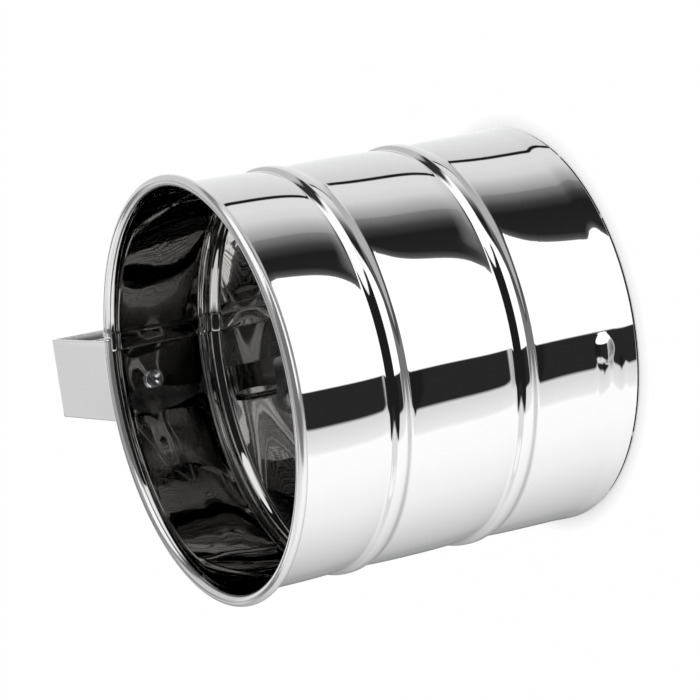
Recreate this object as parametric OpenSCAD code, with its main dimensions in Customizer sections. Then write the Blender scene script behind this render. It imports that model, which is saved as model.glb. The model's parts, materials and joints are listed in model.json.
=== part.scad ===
// Squeeze-handle flour sifter: a polished steel cup with a fixed handle, a sprung trigger and a turning agitator.
// The drum's axis is Z, the base stands on z = 0, and the handle points along +X.

/* [Drum] */
// Outer diameter of the plain wall
drum_d = 100; // [90:1:120]
// Height from the base edge to the top of the rolled rim
drum_h = 94; // [90:1:120]
// Thickness of the wall's sheet
wall_t = 0.5; // [0.4:0.05:0.8]
// Height of the lower bead's crest above the base
bead_low_z = 31.3; // [27:0.1:40]
// Height of the upper bead's crest above the base
bead_high_z = 65.7; // [50:0.1:70]
// Width of a bead from foot to foot
bead_w = 4.8; // [3:0.1:6]
// How far a bead stands out of the wall
bead_h = 1.25; // [0.6:0.05:2]
// Radius of the rolled rim's tube
rim_roll_r = 1.65; // [1.3:0.05:2.2]
// Height of the folded hem at the base
hem_h = 3; // [2:0.1:5]
// Thickness of the folded hem
hem_t = 1; // [0.9:0.05:1.6]
// Width of the lap seam on the inside of the wall
seam_w = 5.6; // [4:0.1:8]
// Thickness of the lap seam
seam_t = 0.45; // [0.3:0.05:0.8]
// Angle of the seam from the handle
seam_deg = -13.3; // [-60:0.1:-12]
// How far the bump of the bridge's spot weld stands out
weld_h = 0.35; // [0.1:0.05:0.5]
// Radius of the spot weld's rounded bump
weld_r = 12; // [6:0.5:16]

/* [Sieve] */
// Thickness of the mesh
mesh_t = 0.6; // [0.4:0.1:1]
// Distance from one gap of the mesh to the next
mesh_pitch = 5; // [5:0.1:7]
// Width of the metal between two gaps
mesh_bar = 1; // [0.7:0.1:1.5]
// Height of the hoop that holds the mesh down
hoop_h = 2.8; // [2:0.1:5]
// Thickness of the hoop's sheet
hoop_t = 0.5; // [0.4:0.1:0.8]
// Width of the hoop's foot on the mesh
hoop_foot = 2; // [1.2:0.1:3]

/* [Bridge] */
// Width of the strip across the drum that carries the agitator
bridge_w = 14; // [12:0.5:16]
// Thickness of the bridge
bridge_t = 1; // [0.8:0.1:1.5]
// Outer diameter of the bush in the bridge
bush_d = 6; // [5:0.1:8]
// Diameter of the bush's two flanges
bush_flange_d = 8.5; // [8:0.1:10]
// Thickness of a flange of the bush
bush_flange_t = 0.5; // [0.4:0.1:0.8]

/* [Agitator] */
// Diameter of the agitator's shaft
shaft_d = 4; // [3:0.1:4.5]
// Diameter of the shaft's top, under the nut
shaft_top_d = 3.4; // [2.6:0.1:3.8]
// Diameter of the shaft's lower head
shaft_head_d = 8; // [6:0.1:10]
// Height of the shaft's lower head
shaft_head_h = 1.6; // [1:0.1:1.8]
// Reach of the blades from the shaft's axis
blade_r = 46; // [30:0.5:46.5]
// Width of a blade
blade_w = 7; // [5:0.1:8]
// Thickness of a blade
blade_t = 0.8; // [0.6:0.1:1]
// Turn of a blade out of the flat
blade_tilt = 50; // [30:1:60]
// Diameter of the flat disc in the middle of a blade strip
blade_hub_d = 13; // [11:0.5:16]
// Turn of the lower blade strip from the handle, at rest
blade_rest_deg = 20; // [0:1:90]
// Gap between the blades and the mesh
blade_gap = 0.6; // [0.4:0.1:1]
// Outer diameter of the collar above the blades
collar_d = 8; // [6:0.1:10]

/* [Crank] */
// Distance from the shaft to the crank pin
crank_r = 9; // [8.5:0.1:10]
// Turn of the crank to each side of the middle
crank_swing = 30; // [20:1:32]
// Width of the crank arm
crank_w = 7; // [6:0.1:8]
// Thickness of the crank arm
crank_t = 1.2; // [1:0.1:2]
// Thickness of the washer under the crank arm
washer_t = 0.6; // [0.4:0.1:1]
// Width of the crank nut across its flats
nut_w = 6; // [5:0.1:7]
// Height of the crank nut
nut_h = 2; // [1.5:0.1:3]
// Diameter of the crank pin
pin_d = 3; // [2.5:0.1:3.5]
// Diameter of the pin's shoulder under the pull bar
pin_shoulder_d = 5; // [4.5:0.1:6]
// Diameter of the clip on top of the crank pin
clip_d = 7; // [6:0.1:8]
// Thickness of the clip
clip_t = 0.6; // [0.4:0.1:1]

/* [Handle] */
// Distance from the drum's wall to the outer face of the grip
grip_reach = 50; // [48:0.5:62]
// Width of the handle's strap
grip_w = 21; // [19:0.5:26]
// Thickness of the handle's strap
grip_t = 1.2; // [1:0.1:1.6]
// Outer radius of the strap's bends
grip_bend_r = 1.6; // [1.6:0.1:6]
// Depth of the upper arm's top face below the rim
grip_drop = 5.5; // [4.5:0.1:7]
// Height of the lower arm's bottom face above the base
grip_low_z = 4.5; // [2:0.1:4.6]
// Height of the lower tab on the wall
low_tab_h = 11; // [9:0.1:12]
// Height of the upper tab on the wall
high_tab_h = 12.5; // [10:0.1:14]
// Corner radius of the tabs
tab_corner_r = 3; // [1:0.1:4]
// Depth of the upper rivet below the rim
rivet_drop = 11.5; // [11:0.1:14]
// Diameter of the handle rivets' shanks
rivet_d = 3; // [2.5:0.1:3.5]
// Diameter of the handle rivets' heads
rivet_head_d = 5; // [4.5:0.1:5.5]
// Height of the handle rivets' outer heads
rivet_head_h = 1.1; // [0.8:0.1:1.5]

/* [Trigger] */
// Distance from the grip's outer face to the trigger's
trigger_gap = 15.5; // [15:0.1:20]
// Width of the trigger's strap
trigger_w = 19; // [16:0.5:19.5]
// Thickness of the trigger's strap
trigger_t = 1; // [0.8:0.1:1.4]
// Outer radius of the trigger's bends
trigger_bend_r = 2.2; // [1.6:0.1:5]
// Width of the pull bar
bar_w = 10; // [8:0.5:11]
// Thickness of the pull bar
bar_t = 1.2; // [1:0.1:1.6]
// Length of the pull bar's widened end
paddle_l = 13; // [11:0.5:15]
// Corner radius of the pull bar's ends
bar_corner_r = 2.5; // [1:0.1:4]
// Length by which the trigger's lower arm laps the pull bar
lap_l = 15; // [13:0.5:16]
// Diameter of the link rivets' shanks
link_d = 2.5; // [2:0.1:3]
// Diameter of the link rivets' heads
link_head_d = 4.5; // [4:0.1:5.5]
// Height of the link rivets' heads
link_head_h = 0.9; // [0.6:0.1:1.2]
// Distance from the grip's outer face back to the guide stud
stud_inset = 26; // [24:0.5:28]
// Diameter of the guide stud
stud_d = 3.5; // [3:0.1:4]
// Diameter of the guide stud's collar
stud_collar_d = 6; // [5.5:0.1:8]
// Height of the guide stud's collar
stud_collar_h = 1.7; // [1.2:0.1:3]
// Diameter of the clip under the guide stud
stud_clip_d = 7.5; // [7:0.1:9]
// Thickness of the clip under the guide stud
stud_clip_t = 0.8; // [0.5:0.1:1]

/* [Spring] */
// Mean diameter of the return spring
spring_d = 8.5; // [8:0.1:12]
// Diameter of the spring's wire
wire_d = 0.8; // [0.5:0.05:0.8]
// Number of the spring's curls
spring_turns = 5; // [3:1:5]
// Diameter of a spring seat's flange
seat_d = 12; // [11:0.5:16]
// Thickness of a spring seat's flange
seat_t = 0.5; // [0.4:0.1:0.8]
// Diameter of the boss inside the spring
boss_d = 6.2; // [4:0.1:6.5]
// Height of the boss
boss_h = 1.5; // [1:0.1:1.8]

/* [Clearances] */
// Radial clearance of the turning shaft
shaft_clear = 0.04; // [0.02:0.01:0.08]
// Radial clearance of fixed pieces in their holes
hole_clear = 0.05; // [0.02:0.01:0.1]
// Gap between the drum's wall and what is seated on it
wall_gap = 0.05; // [0.02:0.01:0.1]
// Axial play of pieces that turn or slide on each other
run_gap = 0.25; // [0.15:0.05:0.4]
// Play of the crank pin and the guide stud in their slots
slot_gap = 0.3; // [0.2:0.05:0.4]
// Gap between pieces that lie near each other
near_gap = 0.3; // [0.2:0.05:0.5]

/* [Hidden] */
$fn = 96;

// Overrun of every cut
over = 1;
// Steps in the outline of a bead, of the rolled rim, of a rivet's rolled end and of the hem's corner
bead_steps = 12;
rim_steps = 18;
roll_steps = 12;
hem_steps = 3;
// Angle at which the rolled rim's sheet ends, under the roll
rim_end_deg = -110;
// Radius of the hem's bottom corners
hem_corner_r = 0.3;

drum_r = drum_d / 2;
inner_r = drum_r - wall_t;
seated_r = inner_r - wall_gap;
grip_seat_r = drum_r + wall_gap;
rivet_head_r = rivet_head_d / 2;

// Heights, from the base up
mesh_top = hem_h + mesh_t;
hoop_top = mesh_top + hoop_h;
blade_half_h = blade_w / 2 * sin(blade_tilt) + blade_t / 2 * cos(blade_tilt);
blade_mid_z = mesh_top + blade_gap + blade_half_h;
blade_flat_z = blade_mid_z - blade_t / 2;
blade_top = blade_mid_z + blade_half_h;
tab_low_z = hoop_top + near_gap;
low_rivet_z = tab_low_z + rivet_head_r;
bridge_z = max(tab_low_z + rivet_head_d + near_gap, blade_top + bush_flange_t + near_gap);
bridge_top = bridge_z + bridge_t;
washer_z = bridge_top + bush_flange_t + run_gap;
crank_z = washer_z + washer_t;
crank_top = crank_z + crank_t;
shaft_top = crank_top + nut_h + near_gap / 2;
bar_z = shaft_top + near_gap;
bar_top = bar_z + bar_t;
trigger_low = bar_top;
high_rivet_z = drum_h - rivet_drop;
grip_top = drum_h - grip_drop;
grip_under = grip_top - grip_t;
trigger_top = grip_under - stud_collar_h - run_gap;

// Places along the handle
grip_x = drum_r + grip_reach;
stud_x = grip_x - stud_inset;
crank_rest_deg = -90 - crank_swing;
pull_travel = 2 * crank_r * sin(crank_swing);
crank_slot_x = crank_r * cos(crank_rest_deg);
grip_in = grip_x - grip_t;
trigger_x = grip_x - trigger_gap;
stud_hole_r = stud_d / 2 + slot_gap;
slot_end_x = stud_x + stud_hole_r;
slot_start_x = stud_x - pull_travel - stud_hole_r;
slot_margin = 3;
link_edge = 4;
lap_start_x = drum_r + bead_h + pull_travel - near_gap;
link_xs = [lap_start_x + link_edge, lap_start_x + lap_l - link_edge];
spring_z = (trigger_low + trigger_top) / 2;

// Height of the outline over the plain wall at s bead half widths from the crest
function bead_rise(s) = bead_h * (1 + cos(180 * s)) / 2;
function bead_line(z, r) = [for (i = [0:bead_steps]) let (s = 2 * i / bead_steps - 1)
    [r + bead_rise(s), z + s * bead_w / 2]];
function arc(x, y, r, from, to, steps) = [for (i = [0:steps]) let (a = from + (to - from) * i / steps)
    [x + r * cos(a), y + r * sin(a)]];
function turned(list) = [for (i = [len(list) - 1:-1:0]) list[i]];
function wall_line(r) = concat(bead_line(bead_low_z, r), bead_line(bead_high_z, r));

// A rounded rectangle whose corners are true arcs
module rounded_plate(size, r) {
    translate([r, 0]) square([size[0] - 2 * r, size[1]]);
    translate([0, r]) square([size[0], size[1] - 2 * r]);
    for (x = [r, size[0] - r], y = [r, size[1] - r]) translate([x, y]) circle(r);
}

// A slot with round ends, centred, l long over all along Y
module slot_outline(w, l) {
    square([w, l - w], center = true);
    for (s = [-1, 1]) translate([0, s * (l - w) / 2]) circle(d = w);
}

// The outline of a strap bent to a C, open towards the drum, in X and Z
module strap_outline(x_in, x_out, z_low, z_high, t, r) {
    difference() {
        bent_end(x_in, x_out, z_low, z_high, r);
        bent_end(x_in - over, x_out - t, z_low + t, z_high - t, r - t);
    }
}

module bent_end(x_in, x_out, z_low, z_high, r) {
    translate([x_in, z_low]) square([x_out - x_in - r, z_high - z_low]);
    translate([x_out - 2 * r, z_low + r]) square([2 * r, z_high - z_low - 2 * r]);
    for (z = [z_low + r, z_high - r]) translate([x_out - r, z]) circle(r);
}

module standing(w) {
    rotate([90, 0, 0]) translate([0, 0, -w / 2]) linear_extrude(w) children();
}

// A band of sheet on a cylinder about Z, w wide across +X, with rounded corners
module curved_tab(r, t, w, z, h, corner) {
    intersection() {
        translate([0, 0, z]) difference() {
            cylinder(h = h, r = r + t);
            translate([0, 0, -over]) cylinder(h = h + 2 * over, r = r);
        }
        translate([0, -w / 2, z]) rotate([90, 0, 90]) linear_extrude(r + t + over) rounded_plate([w, h], corner);
    }
}

// The cap of a sphere on the plane z = 0
module dome(d, h) {
    ball_r = (d * d / 4 + h * h) / (2 * h);
    intersection() {
        translate([0, 0, h - ball_r]) sphere(ball_r);
        cylinder(h = h + over, r = d / 2 + over);
    }
}

module ring(outer_d, bore_d, z, h) {
    translate([0, 0, z]) difference() {
        cylinder(h = h, d = outer_d);
        translate([0, 0, -over]) cylinder(h = h + 2 * over, d = bore_d);
    }
}

module along_x(x, z) {
    translate([x, 0, z]) rotate([0, 90, 0]) children();
}

// Drum: one sheet, rolled out at the mouth and folded in at the base
module wall_section() {
    roll_x = inner_r + rim_roll_r;
    roll_y = drum_h - rim_roll_r;
    polygon(concat(
        arc(drum_r - hem_corner_r, hem_corner_r, hem_corner_r, -90, 0, hem_steps),
        wall_line(drum_r),
        arc(roll_x, roll_y, rim_roll_r - wall_t, 180, rim_end_deg, rim_steps),
        arc(roll_x, roll_y, rim_roll_r, rim_end_deg, 180, rim_steps),
        turned(wall_line(inner_r)),
        [[inner_r, hem_h], [drum_r - hem_t, hem_h]],
        arc(drum_r - hem_t + hem_corner_r, hem_corner_r, hem_corner_r, 180, 270, hem_steps)));
}

module seam() {
    turn = seam_w / inner_r * 180 / PI;
    low = hoop_top + near_gap;
    high = drum_h - rim_roll_r;
    mid_r = drum_r - wall_t / 2;
    rotate([0, 0, seam_deg - turn / 2]) rotate_extrude(angle = turn)
        polygon(concat([[inner_r - seam_t, low], [mid_r, low]], wall_line(mid_r),
            [[mid_r, high], [inner_r - seam_t, high]]));
}

module weld_bump() {
    difference() {
        translate([weld_r - drum_r - weld_h, 0, low_rivet_z]) sphere(weld_r);
        translate([0, 0, low_rivet_z - weld_r - over]) cylinder(h = 2 * (weld_r + over), r = drum_r - wall_t / 2);
    }
}

module drum_body() {
    color("silver") difference() {
        union() {
            rotate_extrude() wall_section();
            seam();
            weld_bump();
        }
        for (z = [low_rivet_z, high_rivet_z]) along_x(drum_r - wall_t - over, z)
            cylinder(h = wall_t + 2 * over, r = rivet_d / 2 + hole_clear);
        translate([inner_r - over, -bar_w / 2 - near_gap, bar_z - near_gap])
            cube([wall_t + 2 * over, bar_w + 2 * near_gap, bar_t + 2 * near_gap]);
    }
}

// Sieve: a net with square gaps, clamped under a hoop
mesh_gap = mesh_pitch - mesh_bar;
mesh_open_r = inner_r - hoop_foot - mesh_bar / 2;
mesh_cells = floor(mesh_open_r / mesh_pitch);
function is_open(x, y) = norm([abs(x) + mesh_gap / 2, abs(y) + mesh_gap / 2]) < mesh_open_r;
mesh_places = [for (i = [-mesh_cells:mesh_cells], j = [-mesh_cells:mesh_cells])
    let (x = i * mesh_pitch, y = j * mesh_pitch) if (is_open(x, y)) [x, y]];
echo(mesh_gaps = len(mesh_places));

module mesh_screen() {
    color("gainsboro") translate([0, 0, hem_h]) linear_extrude(mesh_t) difference() {
        circle(seated_r);
        for (p = mesh_places) translate(p) square(mesh_gap, center = true);
    }
}

module mesh_hoop() {
    color("silver") translate([0, 0, mesh_top]) rotate_extrude() {
        translate([seated_r - hoop_t, 0]) square([hoop_t, hoop_h]);
        translate([seated_r - hoop_foot, 0]) square([hoop_foot, hoop_t]);
    }
}

// Bridge: a strip across the drum with its ends turned down on the wall
module bridge() {
    tab_h = bridge_top - tab_low_z;
    color("silver") difference() {
        union() {
            intersection() {
                translate([0, 0, bridge_z]) cylinder(h = bridge_t, r = seated_r);
                translate([-drum_r, -bridge_w / 2, bridge_z - over]) cube([drum_d, bridge_w, bridge_t + 2 * over]);
            }
            for (a = [0, 180]) rotate([0, 0, a]) intersection() {
                ring(2 * seated_r, 2 * (seated_r - bridge_t), tab_low_z, tab_h);
                translate([0, -bridge_w / 2, tab_low_z - over]) cube([drum_r, bridge_w, tab_h + 2 * over]);
            }
        }
        translate([0, 0, bridge_z - over]) cylinder(h = bridge_t + 2 * over, r = bush_d / 2 + hole_clear);
        along_x(seated_r - bridge_t - over, low_rivet_z)
            cylinder(h = bridge_t + 2 * over, r = rivet_d / 2 + hole_clear);
    }
}

module shaft_bush() {
    color("goldenrod") difference() {
        union() {
            translate([0, 0, bridge_z - bush_flange_t]) cylinder(h = bush_flange_t, d = bush_flange_d);
            translate([0, 0, bridge_z]) cylinder(h = bridge_t, d = bush_d);
            translate([0, 0, bridge_top]) cylinder(h = bush_flange_t, d = bush_flange_d);
        }
        translate([0, 0, bridge_z - bush_flange_t - over])
            cylinder(h = bridge_t + 2 * (bush_flange_t + over), r = shaft_d / 2 + shaft_clear);
    }
}

// Handle: one strap, bent square, with a curved tab at each end
module handle_grip() {
    color("silver") difference() {
        union() {
            difference() {
                standing(grip_w) strap_outline(0, grip_x, grip_low_z, grip_top, grip_t, grip_bend_r);
                translate([0, 0, -over]) cylinder(h = drum_h + 2 * over, r = grip_seat_r);
            }
            curved_tab(grip_seat_r, grip_t, grip_w, grip_top - high_tab_h, high_tab_h, tab_corner_r);
            curved_tab(grip_seat_r, grip_t, grip_w, grip_low_z, low_tab_h, tab_corner_r);
        }
        for (z = [low_rivet_z, high_rivet_z]) along_x(drum_r - over, z)
            cylinder(h = grip_t + wall_gap + 2 * over, r = rivet_d / 2 + hole_clear);
    }
}

// A semi-tubular rivet along +X: its rolled end lies on the inner face, its domed head on the outer one
module tube_rivet(face_in, face_out) {
    roll_r = rivet_head_h / 2;
    head_in = sqrt(face_in * face_in - rivet_head_r * rivet_head_r);
    shank_end = face_out - head_in + rivet_head_h / 2;
    translate([0, 0, head_in]) rotate_extrude() polygon(concat(
        [[0, rivet_d / 2], [rivet_d / 4, rivet_d / 2], [rivet_d / 4, 0]],
        arc(rivet_head_r - roll_r, -roll_r, roll_r, 180, 450, roll_steps),
        [[rivet_d / 2, 0], [rivet_d / 2, shank_end], [0, shank_end]]));
    translate([0, 0, face_out]) dome(rivet_head_d, rivet_head_h);
}

module handle_rivets() {
    color("lightgray") {
        along_x(0, high_rivet_z) tube_rivet(inner_r, grip_seat_r + grip_t);
        along_x(0, low_rivet_z) tube_rivet(seated_r - bridge_t, grip_seat_r + grip_t);
    }
}

// Guide: a stud under the handle's upper arm, through the trigger's slot, with a clip
stud_low = trigger_top - trigger_t - run_gap - stud_clip_t;

module guide_stud() {
    peen_h = stud_clip_t / 2;
    color("lightgray") translate([stud_x, 0, 0]) {
        translate([0, 0, grip_under - stud_collar_h]) cylinder(h = stud_collar_h, d = stud_collar_d);
        translate([0, 0, stud_low]) cylinder(h = grip_under - stud_low, d = stud_d);
        translate([0, 0, stud_low]) mirror([0, 0, 1]) dome((stud_d + stud_collar_d) / 2, peen_h);
    }
}

module guide_clip() {
    color("silver") translate([stud_x, 0, 0])
        ring(stud_clip_d, stud_d + 2 * hole_clear, stud_low, stud_clip_t);
}

// Return spring between the trigger and the grip, and the two seats that centre it
module spring_seat() {
    cylinder(h = seat_t, d = seat_d);
    cylinder(h = seat_t + boss_h, d = boss_d);
}

module grip_spring_seat() {
    color("lightgray") along_x(grip_in, spring_z) mirror([0, 0, 1]) spring_seat();
}

module trigger_spring_seat() {
    color("lightgray") along_x(trigger_x, spring_z) spring_seat();
}

// The wire's middle line is drawn on the unrolled cylinder, along X and round it, and wrapped up
curl_rings = 8;
wire_sides = 6;
coil_r = spring_d / 2;
spring_x = trigger_x + seat_t;
spring_l = grip_in - seat_t - spring_x;
bend_r = wire_d;
coil_rise = spring_l - 2 * (wire_d + bend_r);
coil_run = spring_turns * 2 * PI * coil_r;
coil_deg = atan2(coil_run, coil_rise);
bend_x = bend_r * sin(coil_deg);
bend_s = bend_r * (1 - cos(coil_deg));
coil_x = spring_l - 2 * (wire_d + bend_x);
half_deg = coil_deg / 2;
start_line = [[0, 0, 0], [wire_d, 0, 0],
    [wire_d + bend_r * sin(half_deg), bend_r * (1 - cos(half_deg)), half_deg]];
coil_line = [for (i = [0:spring_turns * curl_rings]) let (f = i / (spring_turns * curl_rings))
    [wire_d + bend_x + coil_x * f, bend_s + coil_run * f, coil_deg]];
end_s = 2 * bend_s + coil_run;
end_line = [for (p = turned(start_line)) [spring_l - p[0], end_s - p[1], p[2]]];
wire_line = concat(start_line, coil_line, end_line);

function coil_angle(s) = s / coil_r * 180 / PI;
function wire_point(p) = let (a = coil_angle(p[1])) [spring_x + p[0], coil_r * cos(a), spring_z + coil_r * sin(a)];
function wire_ring(p) = let (a = coil_angle(p[1]), out = [0, cos(a), sin(a)],
    ahead = cos(p[2]) * [1, 0, 0] + sin(p[2]) * [0, -sin(a), cos(a)], side = cross(ahead, out))
    [for (k = [0:wire_sides - 1]) let (b = 360 * k / wire_sides)
        wire_point(p) + wire_d / 2 * (cos(b) * out + sin(b) * side)];
curl_gaps = [for (i = [0:len(coil_line) - 1 - curl_rings])
    norm(wire_point(coil_line[i + curl_rings]) - wire_point(coil_line[i])) - wire_d];
echo(spring_least_gap = min(curl_gaps));

module return_spring() {
    rings = len(wire_line);
    points = [for (p = wire_line) each wire_ring(p)];
    sides = [for (i = [0:rings - 2], k = [0:wire_sides - 1]) let (n = (k + 1) % wire_sides,
        a = i * wire_sides + k, b = i * wire_sides + n) each [[a, a + wire_sides, b], [b, a + wire_sides, b + wire_sides]]];
    first = [for (k = [1:wire_sides - 2]) [0, k, k + 1]];
    base = (rings - 1) * wire_sides;
    last = [for (k = [1:wire_sides - 2]) [base, base + k + 1, base + k]];
    color("gray") polyhedron(points, concat(sides, first, last));
}

// Trigger: a strap bent to a C inside the handle, guided above and riveted to the pull bar below
module trigger_strap() {
    low_l = trigger_x - lap_start_x;
    high_l = trigger_x - slot_start_x + slot_margin;
    mid_z = (trigger_low + trigger_top) / 2;
    color("silver") difference() {
        intersection() {
            standing(trigger_w) strap_outline(lap_start_x - slot_margin, trigger_x, trigger_low, trigger_top,
                trigger_t, trigger_bend_r);
            union() {
                translate([lap_start_x, -trigger_w / 2, trigger_low - over]) linear_extrude(mid_z - trigger_low + over)
                    rounded_plate([low_l + slot_margin, trigger_w], slot_margin);
                translate([trigger_x - high_l, -trigger_w / 2, mid_z]) linear_extrude(trigger_top - mid_z + over)
                    rounded_plate([high_l + slot_margin, trigger_w], slot_margin);
            }
        }
        translate([(slot_start_x + slot_end_x) / 2, 0, trigger_top - trigger_t - over]) rotate([0, 0, 90])
            linear_extrude(trigger_t + 2 * over) slot_outline(2 * stud_hole_r, slot_end_x - slot_start_x);
        for (x = link_xs) translate([x, 0, trigger_low - over])
            cylinder(h = trigger_t + 2 * over, r = link_d / 2 + hole_clear);
    }
}

// Pull bar: from the trigger through the wall to the crank pin, which works in its cross slot
pin_slot_w = pin_d + 2 * slot_gap;
pin_far_y = -crank_r;
pin_near_y = crank_r * sin(crank_rest_deg);
pin_slot_l = pin_near_y - pin_far_y + pin_slot_w;
paddle_low_y = pin_far_y - pin_slot_w / 2 - bar_corner_r;

module pull_bar() {
    color("silver") translate([0, 0, bar_z]) difference() {
        linear_extrude(bar_t) {
            translate([crank_slot_x - paddle_l / 2, -bar_w / 2])
                rounded_plate([lap_start_x + lap_l - crank_slot_x + paddle_l / 2, bar_w], bar_corner_r);
            translate([crank_slot_x - paddle_l / 2, paddle_low_y])
                rounded_plate([paddle_l, bar_w / 2 - paddle_low_y], bar_corner_r);
        }
        translate([crank_slot_x, (pin_far_y + pin_near_y) / 2, -over])
            linear_extrude(bar_t + 2 * over) slot_outline(pin_slot_w, pin_slot_l);
        for (x = link_xs) translate([x, 0, -over]) cylinder(h = bar_t + 2 * over, r = link_d / 2 + hole_clear);
    }
}

module link_rivets() {
    color("lightgray") for (x = link_xs) translate([x, 0, bar_z]) {
        cylinder(h = bar_t + trigger_t, d = link_d);
        translate([0, 0, bar_t + trigger_t]) dome(link_head_d, link_head_h);
        mirror([0, 0, 1]) dome(link_head_d, link_head_h);
    }
}

// Agitator: two twisted strips crossed on a shaft that turns in the bridge's bush
module agitator_shaft() {
    color("lightgray") {
        translate([0, 0, blade_flat_z]) cylinder(h = crank_z - blade_flat_z, d = shaft_d);
        translate([0, 0, crank_z]) cylinder(h = shaft_top - crank_z, d = shaft_top_d);
        translate([0, 0, blade_flat_z]) mirror([0, 0, 1]) dome(shaft_head_d, shaft_head_h);
    }
}

// A strip with a flat middle at height z; its arms step to one height and are turned about their own length
module blade_strip(z) {
    hub_r = blade_hub_d / 2;
    arm_x = hub_r + near_gap;
    difference() {
        union() {
            translate([0, 0, z]) cylinder(h = blade_t, r = hub_r);
            for (a = [0, 180]) rotate([0, 0, a]) {
                translate([shaft_d, -blade_w / 2, z]) cube([arm_x - shaft_d, blade_w, blade_t]);
                translate([arm_x, -blade_w / 2, blade_flat_z]) cube([blade_t, blade_w, z - blade_flat_z + blade_t]);
                translate([arm_x, 0, blade_mid_z]) rotate([blade_tilt, 0, 0])
                    translate([0, -blade_w / 2, -blade_t / 2]) cube([blade_r - arm_x, blade_w, blade_t]);
            }
        }
        translate([0, 0, z - over]) cylinder(h = blade_t + 2 * over, r = shaft_d / 2 + hole_clear);
    }
}

module agitator_blade_lower() {
    color("silver") rotate([0, 0, blade_rest_deg]) blade_strip(blade_flat_z);
}

module agitator_blade_upper() {
    color("silver") rotate([0, 0, blade_rest_deg + 90]) blade_strip(blade_flat_z + blade_t);
}

module blade_collar() {
    low = blade_flat_z + 2 * blade_t;
    color("lightgray")
        ring(collar_d, shaft_d + 2 * hole_clear, low, bridge_z - bush_flange_t - run_gap - low);
}

module crank_washer() {
    color("lightgray") ring(collar_d, shaft_d + 2 * hole_clear, washer_z, washer_t);
}

module on_crank() {
    rotate([0, 0, crank_rest_deg]) children();
}

module crank_arm() {
    color("silver") on_crank() translate([0, 0, crank_z]) difference() {
        union() {
            for (x = [0, crank_r]) translate([x, 0, 0]) cylinder(h = crank_t, d = crank_w);
            translate([0, -crank_w / 2, 0]) cube([crank_r, crank_w, crank_t]);
        }
        translate([0, 0, -over]) cylinder(h = crank_t + 2 * over, r = shaft_top_d / 2 + hole_clear);
        translate([crank_r, 0, -over]) cylinder(h = crank_t + 2 * over, r = pin_d / 2 + hole_clear);
    }
}

module crank_nut() {
    color("lightgray") translate([0, 0, crank_top]) difference() {
        cylinder(h = nut_h, d = nut_w / cos(30), $fn = 6);
        translate([0, 0, -over]) cylinder(h = nut_h + 2 * over, r = shaft_top_d / 2 + hole_clear);
    }
}

module crank_pin() {
    shoulder_h = bar_z - run_gap - crank_top;
    clip_z = bar_top + run_gap;
    peen_h = clip_t;
    color("lightgray") on_crank() translate([crank_r, 0, 0]) {
        translate([0, 0, crank_top]) cylinder(h = shoulder_h, d = pin_shoulder_d);
        translate([0, 0, crank_z]) cylinder(h = clip_z + clip_t - crank_z, d = pin_d);
        translate([0, 0, clip_z + clip_t]) dome(pin_shoulder_d, peen_h);
        translate([0, 0, crank_z]) mirror([0, 0, 1]) dome(pin_shoulder_d, peen_h);
    }
}

module crank_pin_clip() {
    color("silver") on_crank() translate([crank_r, 0, 0])
        ring(clip_d, pin_d + 2 * hole_clear, bar_top + run_gap, clip_t);
}

drum_body();
mesh_screen();
mesh_hoop();
bridge();
shaft_bush();
handle_grip();
handle_rivets();
guide_stud();
guide_clip();
grip_spring_seat();
return_spring();
trigger_strap();
pull_bar();
link_rivets();
trigger_spring_seat();
agitator_shaft();
agitator_blade_lower();
agitator_blade_upper();
blade_collar();
crank_washer();
crank_arm();
crank_nut();
crank_pin();
crank_pin_clip();
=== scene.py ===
import json
import math

import bpy
import numpy as np
from mathutils import Matrix, Vector, noise

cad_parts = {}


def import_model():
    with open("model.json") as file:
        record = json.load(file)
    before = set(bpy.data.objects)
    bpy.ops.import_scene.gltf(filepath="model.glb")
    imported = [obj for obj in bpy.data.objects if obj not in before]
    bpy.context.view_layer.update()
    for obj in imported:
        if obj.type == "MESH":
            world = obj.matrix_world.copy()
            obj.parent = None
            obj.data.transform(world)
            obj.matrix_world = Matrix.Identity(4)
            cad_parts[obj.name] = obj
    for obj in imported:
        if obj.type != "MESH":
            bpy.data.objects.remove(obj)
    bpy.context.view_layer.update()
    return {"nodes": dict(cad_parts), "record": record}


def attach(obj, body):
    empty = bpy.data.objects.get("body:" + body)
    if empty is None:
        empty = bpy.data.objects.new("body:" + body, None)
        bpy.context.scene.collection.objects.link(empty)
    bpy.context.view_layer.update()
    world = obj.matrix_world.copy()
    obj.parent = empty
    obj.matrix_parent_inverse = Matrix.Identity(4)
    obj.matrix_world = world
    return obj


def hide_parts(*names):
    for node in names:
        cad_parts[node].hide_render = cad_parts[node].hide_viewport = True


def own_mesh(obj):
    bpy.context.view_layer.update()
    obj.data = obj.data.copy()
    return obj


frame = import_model()
nodes = frame["nodes"]
MM = 0.001

# Sizes that follow part.scad, in millimetres and degrees
DRUM_R, DRUM_H, WALL_T = 50.0, 94.0, 0.5
INNER_R = DRUM_R - WALL_T
BEADS_Z = (31.3, 65.7)
HEM_H, HEM_T = 3.0, 1.0
MESH_Z, MESH_TOP = 3.3, 3.6
HOOP_R, HOOP_H = 49.45, 2.8
SEAM_DEG = -13.3
GRIP_X, GRIP_W, GRIP_T = 100.0, 21.0, 1.2
GRIP_TOP, GRIP_LOW = 88.5, 4.5
TAB_LOW_H, TAB_HIGH_H, TAB_CORNER = 11, 12.5, 3.0
SLOT_HALF_Y, SLOT_Z = 5.3, (17.7, 19.5)
SPRING_X, SPRING_END, SPRING_Z = 85.0, 98.3, 52.3
SPRING_TURNS, COIL_R, WIRE_R = 5.0, 4.25, 0.4

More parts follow.
